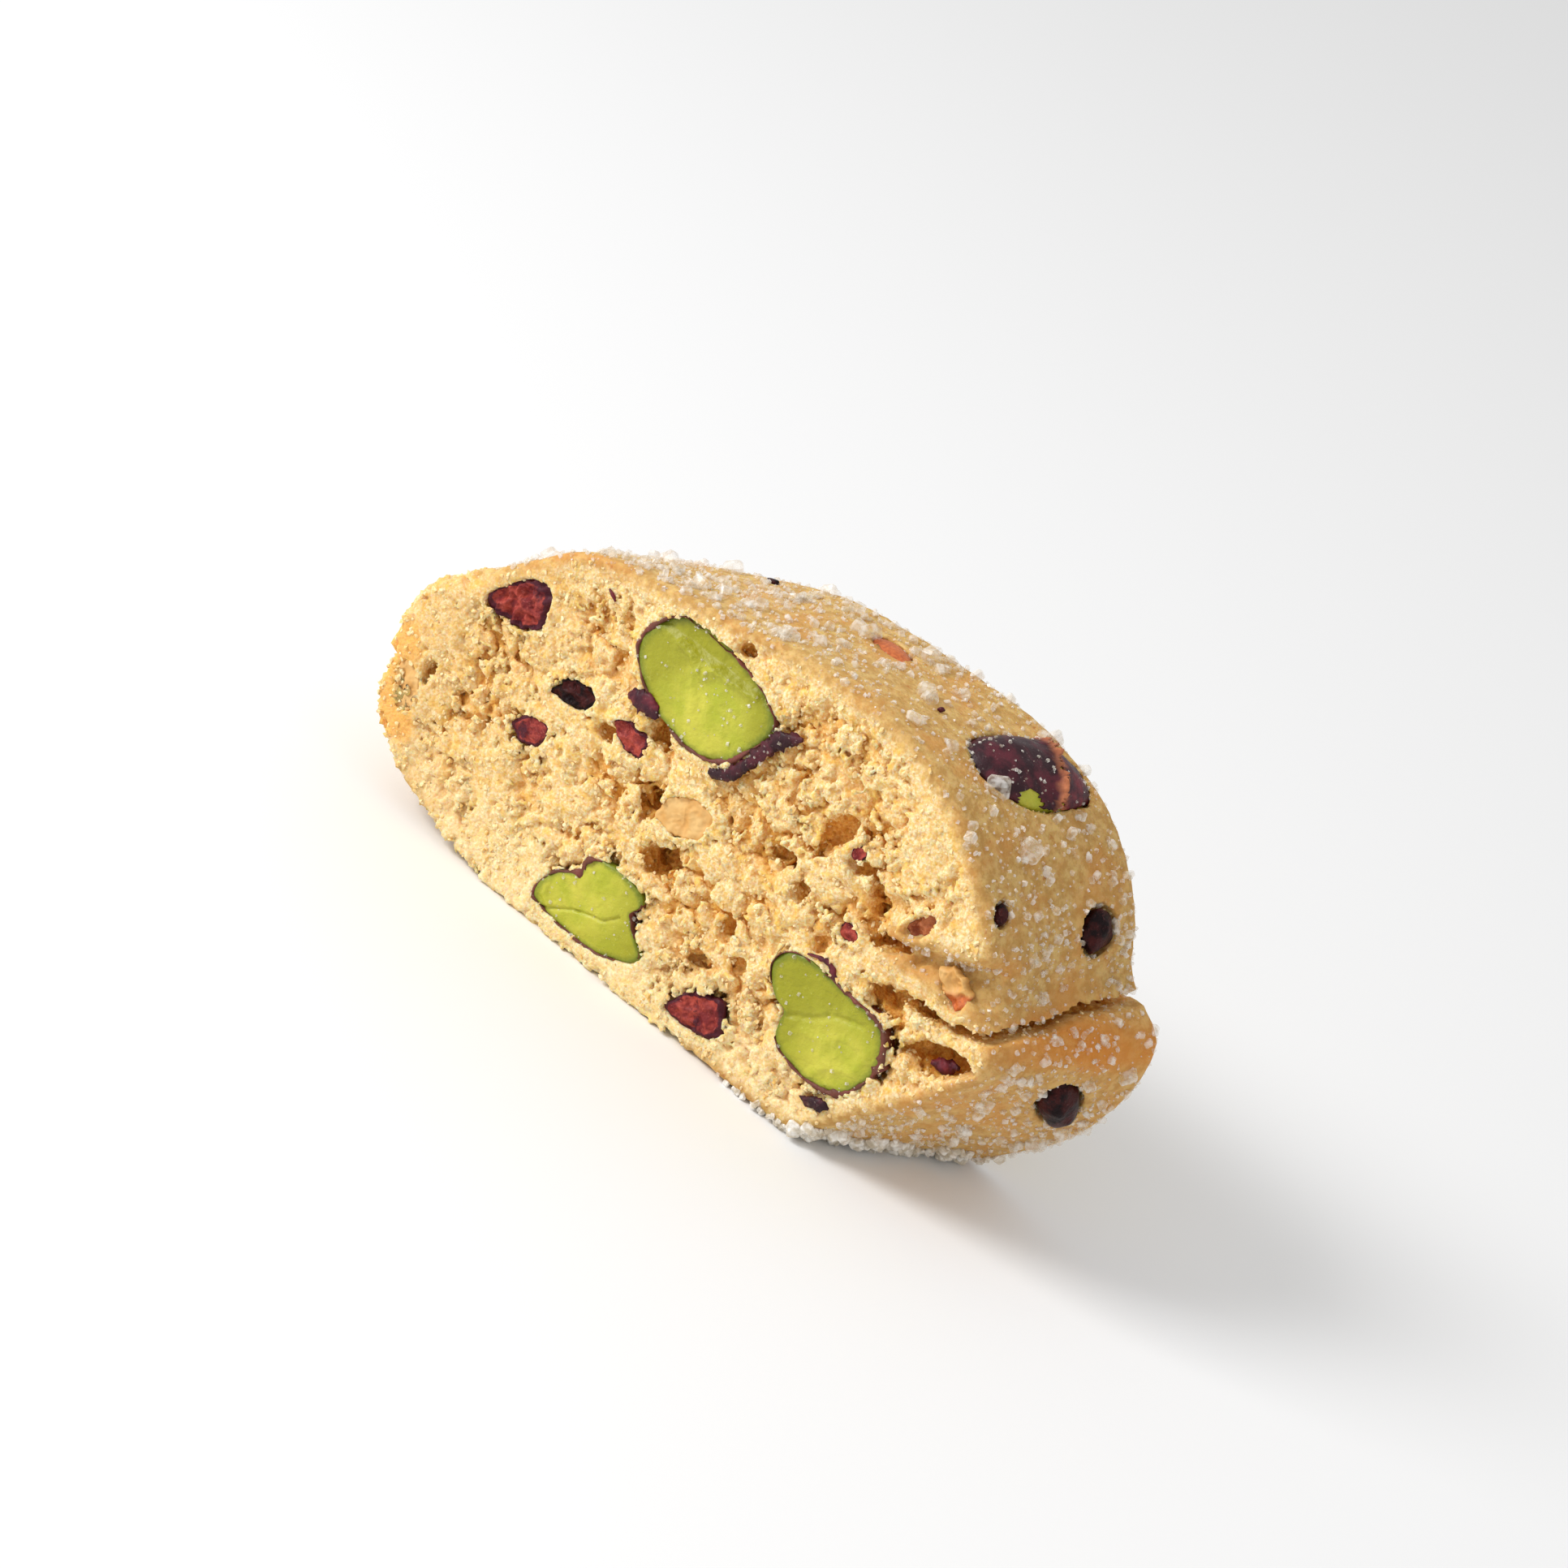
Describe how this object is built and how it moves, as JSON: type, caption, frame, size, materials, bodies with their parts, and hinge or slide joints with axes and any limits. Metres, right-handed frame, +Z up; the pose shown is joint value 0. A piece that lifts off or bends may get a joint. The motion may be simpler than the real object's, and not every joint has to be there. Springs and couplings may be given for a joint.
{
  "type": "biscotti slice",
  "caption": "Thick slant-cut biscotti slice standing on its flat log base, with pistachios, dried berries and almonds in pale crumb and a sugared, split crust.",
  "frame": {"origin": "middle of the bounding box's underside, on the flat base of the log", "axes": "+X along the slice towards its split end, -Y out of the front cut face, +Z up from the flat base to the domed crust"},
  "size_m": [0.0722, 0.017, 0.0364],
  "materials": {
    "dough": "dry baked crumb with a sugared crust",
    "pistachio": "cut pistachio, satin",
    "berry": "dried fruit, satin",
    "dark_berry": "dried fruit, slightly glossy",
    "brown_fruit": "baked fruit, satin",
    "almond": "toasted almond, satin"
  },
  "bodies": {
    "root": {"dough": "dough", "pistachio_top": "pistachio", "pistachio_left": "pistachio", "pistachio_right": "pistachio", "pistachio_crust": "pistachio", "pistachio_rear_high": "pistachio", "pistachio_rear_low": "pistachio", "pistachio_rear_end": "pistachio", "cranberry_corner": "berry", "cranberry_small": "berry", "cranberry_torn": "berry", "cranberry_base": "berry", "cranberry_speck": "berry", "cranberry_chip": "berry", "cranberry_rear_a": "berry", "cranberry_rear_b": "berry", "cranberry_rear_d": "berry", "cranberry_far_end": "berry", "cranberry_pale": "brown_fruit", "cranberry_dark": "dark_berry", "cranberry_rear_c": "dark_berry", "cranberry_shoulder": "dark_berry", "cranberry_lobe": "dark_berry", "cranberry_nick": "dark_berry", "cranberry_ridge": "dark_berry", "cranberry_far_top": "dark_berry", "almond_middle": "almond", "almond_split": "almond", "almond_end": "almond", "almond_crust": "almond", "almond_rear_a": "almond", "almond_rear_b": "almond"}
  },
  "joints": []
}
